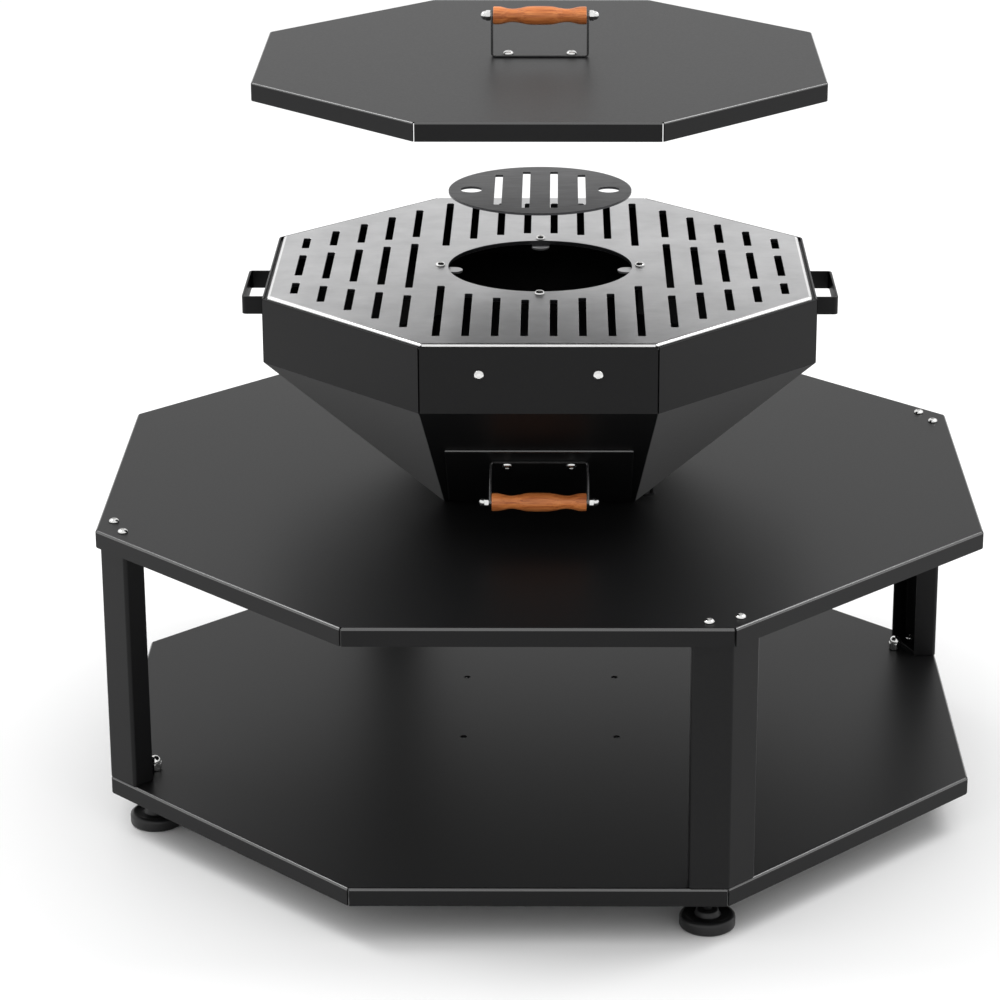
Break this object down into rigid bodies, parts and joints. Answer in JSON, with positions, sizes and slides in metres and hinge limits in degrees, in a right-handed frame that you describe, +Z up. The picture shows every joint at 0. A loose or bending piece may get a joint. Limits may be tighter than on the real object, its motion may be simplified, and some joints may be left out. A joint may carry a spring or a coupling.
{
  "type": "octagonal fire bowl table",
  "caption": "Octagonal charcoal fire bowl with a slotted grill and lift-off lid, standing on a two-tier octagonal table with levelling feet and an ash drawer.",
  "frame": {"origin": "on the floor, under the centre of the table", "axes": "+Z up; -Y towards the ash drawer, which is the front; +X to the right as seen from the front"},
  "size_m": [1.2, 1.2, 1.1102],
  "materials": {
    "black_coat": "satin black powder coat",
    "grill_steel": "dark satin steel plate with a bright rounded outer edge",
    "grate_steel": "dark satin steel",
    "stainless_fasteners": "polished stainless steel",
    "turned_wood": "oiled turned hardwood",
    "foot_plastic": "black moulded plastic"
  },
  "bodies": {
    "table": {"table_top": "black_coat", "lower_shelf": "black_coat", "leg_front_right": "black_coat", "leg_back_right": "black_coat", "leg_back_left": "black_coat", "leg_front_left": "black_coat", "foot_nut_front_right": "stainless_fasteners", "top_bolt_front_right_a": "stainless_fasteners", "top_bolt_front_right_b": "stainless_fasteners", "shelf_bolt_front_right_a": "stainless_fasteners", "shelf_bolt_front_right_b": "stainless_fasteners", "foot_nut_back_right": "stainless_fasteners", "top_bolt_back_right_a": "stainless_fasteners", "top_bolt_back_right_b": "stainless_fasteners", "shelf_bolt_back_right_a": "stainless_fasteners", "shelf_bolt_back_right_b": "stainless_fasteners", "foot_nut_back_left": "stainless_fasteners", "top_bolt_back_left_a": "stainless_fasteners", "top_bolt_back_left_b": "stainless_fasteners", "shelf_bolt_back_left_a": "stainless_fasteners", "shelf_bolt_back_left_b": "stainless_fasteners", "foot_nut_front_left": "stainless_fasteners", "top_bolt_front_left_a": "stainless_fasteners", "top_bolt_front_left_b": "stainless_fasteners", "shelf_bolt_front_left_a": "stainless_fasteners", "shelf_bolt_front_left_b": "stainless_fasteners"},
    "foot_front_right": {"foot_front_right": "foot_plastic"},
    "foot_back_right": {"foot_back_right": "foot_plastic"},
    "foot_back_left": {"foot_back_left": "foot_plastic"},
    "foot_front_left": {"foot_front_left": "foot_plastic"},
    "bowl": {"bowl_hopper": "black_coat", "bowl_band": "black_coat", "side_handle_left": "black_coat", "side_handle_right": "black_coat", "band_bolt_left": "stainless_fasteners", "band_bolt_right": "stainless_fasteners"},
    "ash_drawer": {"drawer_tray": "black_coat", "drawer_bracket": "black_coat", "drawer_grip": "turned_wood", "drawer_rod": "stainless_fasteners", "drawer_bolt_left": "stainless_fasteners", "drawer_bolt_right": "stainless_fasteners"},
    "air_damper": {"air_damper": "black_coat"},
    "charcoal_grate": {"charcoal_grate": "grate_steel"},
    "grill": {"grill_plate": "grill_steel", "grate_tab_right": "grill_steel", "grate_tab_back": "grill_steel", "grate_tab_left": "grill_steel", "grate_tab_front": "grill_steel", "tab_bolt_right": "stainless_fasteners", "tab_bolt_back": "stainless_fasteners", "tab_bolt_left": "stainless_fasteners", "tab_bolt_front": "stainless_fasteners"},
    "centre_grate": {"centre_grate": "grate_steel"},
    "lid": {"lid_pan": "black_coat", "lid_bracket": "black_coat", "lid_grip": "turned_wood", "lid_rod": "stainless_fasteners", "lid_bolt_left": "stainless_fasteners", "lid_bolt_right": "stainless_fasteners"}
  },
  "joints": [
    {"name": "foot_front_right_adjust", "type": "slide", "parent": "table", "child": "foot_front_right", "axis": [0, 0, -1], "range_m": [0, 0.012]},
    {"name": "foot_back_right_adjust", "type": "slide", "parent": "table", "child": "foot_back_right", "axis": [0, 0, -1], "range_m": [0, 0.012]},
    {"name": "foot_back_left_adjust", "type": "slide", "parent": "table", "child": "foot_back_left", "axis": [0, 0, -1], "range_m": [0, 0.012]},
    {"name": "foot_front_left_adjust", "type": "slide", "parent": "table", "child": "foot_front_left", "axis": [0, 0, -1], "range_m": [0, 0.012]},
    {"name": "bowl_lift", "type": "slide", "parent": "table", "child": "bowl", "axis": [0, 0, 1], "range_m": [0, 0.15]},
    {"name": "drawer_slide", "type": "slide", "parent": "bowl", "child": "ash_drawer", "axis": [0, -1, 0], "range_m": [0, 0.22]},
    {"name": "damper_slide", "type": "slide", "parent": "bowl", "child": "air_damper", "axis": [1, 0, 0], "range_m": [0, 0.03]},
    {"name": "charcoal_grate_lift", "type": "slide", "parent": "bowl", "child": "charcoal_grate", "axis": [0, 0, 1], "range_m": [0, 0.1]},
    {"name": "grill_lift", "type": "slide", "parent": "bowl", "child": "grill", "axis": [0, 0, 1], "range_m": [0, 0.1]},
    {"name": "centre_grate_drop", "type": "slide", "parent": "grill", "child": "centre_grate", "axis": [0, 0, 1], "range_m": [-0.1112, 0]},
    {"name": "lid_drop", "type": "slide", "parent": "centre_grate", "child": "lid", "axis": [0, 0, 1], "range_m": [-0.1766, 0]}
  ]
}
